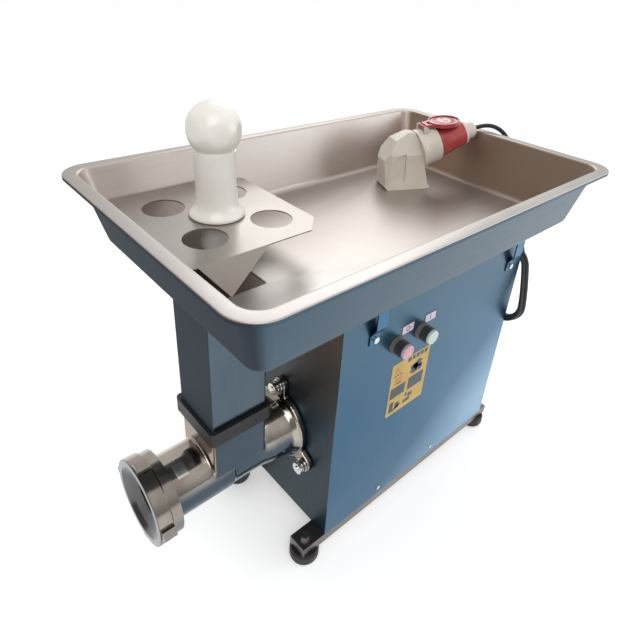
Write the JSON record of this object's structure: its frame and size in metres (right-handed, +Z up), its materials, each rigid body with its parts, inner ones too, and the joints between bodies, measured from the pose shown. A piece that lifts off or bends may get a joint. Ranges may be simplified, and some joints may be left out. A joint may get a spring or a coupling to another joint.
{
  "type": "electric meat grinder",
  "caption": "Floor-standing commercial electric meat grinder with a top feed tray, finger guard, pusher, front grinding head and push buttons, cord plugged into its tray-mounted socket.",
  "frame": {"origin": "on the floor under the middle of the overall length and width, cord left out", "axes": "+X to the rear, outlet and ring nut towards -X, push buttons on the -Y side, +Z up"},
  "size_m": [0.9797, 0.565, 0.938],
  "materials": {
    "tray_steel": "satin",
    "guard_steel": "satin",
    "body_steel": "blue-tinted brushed film over steel",
    "head_metal": "polished cast, tinned look",
    "bright_steel": "machined",
    "frame_steel": "satin",
    "white_plastic": "satin",
    "black_rubber": "matt",
    "cable_rubber": "satin",
    "cast_case": "painted grey",
    "gear_steel": "ground",
    "bearing_steel": "polished",
    "motor_alu": "cast",
    "winding_copper": "varnished copper and laminations",
    "black_plastic": "satin",
    "grey_plastic": "satin",
    "red_cap": "translucent boot over red",
    "green_cap": "translucent boot over green",
    "notice": "printed film",
    "socket_cream": "gloss",
    "plug_red": "gloss"
  },
  "bodies": {
    "frame": {"tray": "tray_steel", "feed_chute": "tray_steel", "guard_plate": "guard_steel", "chute_gasket": "black_rubber", "rubber_feet": "black_rubber", "shaft_seals": "black_rubber", "control_side_panel": "body_steel", "far_side_panel": "body_steel", "front_panel": "body_steel", "rear_panel": "body_steel", "tray_brackets": "body_steel", "base_frame": "frame_steel", "floor_plate": "frame_steel", "top_plate": "frame_steel", "coil_hook": "frame_steel", "foot_nuts": "bright_steel", "panel_bolts": "bright_steel", "head_studs": "bright_steel", "head_nuts": "bright_steel", "plate_pin": "bright_steel", "head_tag": "bright_steel", "lid_hinge_pin": "bright_steel", "head_housing": "head_metal", "gearbox_case": "cast_case", "gearbox_cover": "cast_case", "shaft_bearings": "bearing_steel", "motor_housing": "motor_alu", "motor_shields": "motor_alu", "motor_winding": "winding_copper", "button_housings": "black_plastic", "junction_box": "black_plastic", "cable_gland": "black_plastic", "contact_blocks": "black_plastic", "fan_cowl": "grey_plastic", "terminal_box": "grey_plastic", "contactor": "grey_plastic", "notice_plates": "notice", "power_cable": "cable_rubber", "cable_coil": "cable_rubber", "plug_body": "plug_red", "socket_box": "socket_cream", "socket_collar": "socket_cream", "plug_ring": "socket_cream", "plug_gland_nut": "socket_cream"},
    "auger_drive": {"output_shaft": "gear_steel", "output_gear": "gear_steel", "auger": "head_metal", "knife": "bright_steel"},
    "layshaft": {"mid_shaft": "gear_steel", "mid_gear": "gear_steel"},
    "motor_shaft": {"motor_rotor": "gear_steel", "motor_pinion": "gear_steel", "motor_fan": "black_plastic"},
    "hole_plate": {"orifice_plate": "bright_steel"},
    "ring_nut_body": {"ring_nut": "head_metal"},
    "stop_cap": {"stop_button": "red_cap"},
    "start_cap": {"start_button": "green_cap"},
    "stamper": {"pusher": "white_plastic"},
    "lid": {"socket_lid": "plug_red"}
  },
  "joints": [
    {"name": "motor_spin", "type": "hinge", "parent": "frame", "child": "motor_shaft", "pos_m": [0, -0.02847, 0.18866], "axis": [-1, 0, 0], "continuous": true},
    {"name": "layshaft_spin", "type": "hinge", "parent": "frame", "child": "layshaft", "pos_m": [0, 0.06174, 0.15582], "axis": [-1, 0, 0], "continuous": true},
    {"name": "auger_spin", "type": "hinge", "parent": "frame", "child": "auger_drive", "pos_m": [0, 0, 0.277], "axis": [-1, 0, 0], "continuous": true},
    {"name": "plate_out", "type": "slide", "parent": "frame", "child": "hole_plate", "axis": [-1, 0, 0], "range_m": [0, 0.0201]},
    {"name": "ring_nut_turn", "type": "hinge", "parent": "hole_plate", "child": "ring_nut_body", "pos_m": [-0.45, 0, 0.277], "axis": [-1, 0, 0], "range_deg": [0, 1800]},
    {"name": "stop_press", "type": "slide", "parent": "frame", "child": "stop_cap", "axis": [0, 1, 0], "range_m": [0, 0.0035], "stiffness_N_per_m": 1200},
    {"name": "start_press", "type": "slide", "parent": "frame", "child": "start_cap", "axis": [0, 1, 0], "range_m": [0, 0.0035], "stiffness_N_per_m": 1200},
    {"name": "pusher_lift", "type": "slide", "parent": "frame", "child": "stamper", "axis": [0, 0, 1], "range_m": [0, 0.3]},
    {"name": "lid_swing", "type": "hinge", "parent": "frame", "child": "lid", "pos_m": [0.31214, 0.09779, 0.81753], "axis": [-0.4067, -0.9135, 0], "range_deg": [0, 45], "stiffness_Nm_per_rad": 0.03, "springref_deg": -40.11}
  ],
  "couplings": [
    {"joint": "layshaft_spin", "follows": "motor_spin", "ratio": -0.33333},
    {"joint": "auger_spin", "follows": "motor_spin", "ratio": 0.11111},
    {"joint": "plate_out", "follows": "ring_nut_turn", "m_per_rad": 0.00063662}
  ]
}
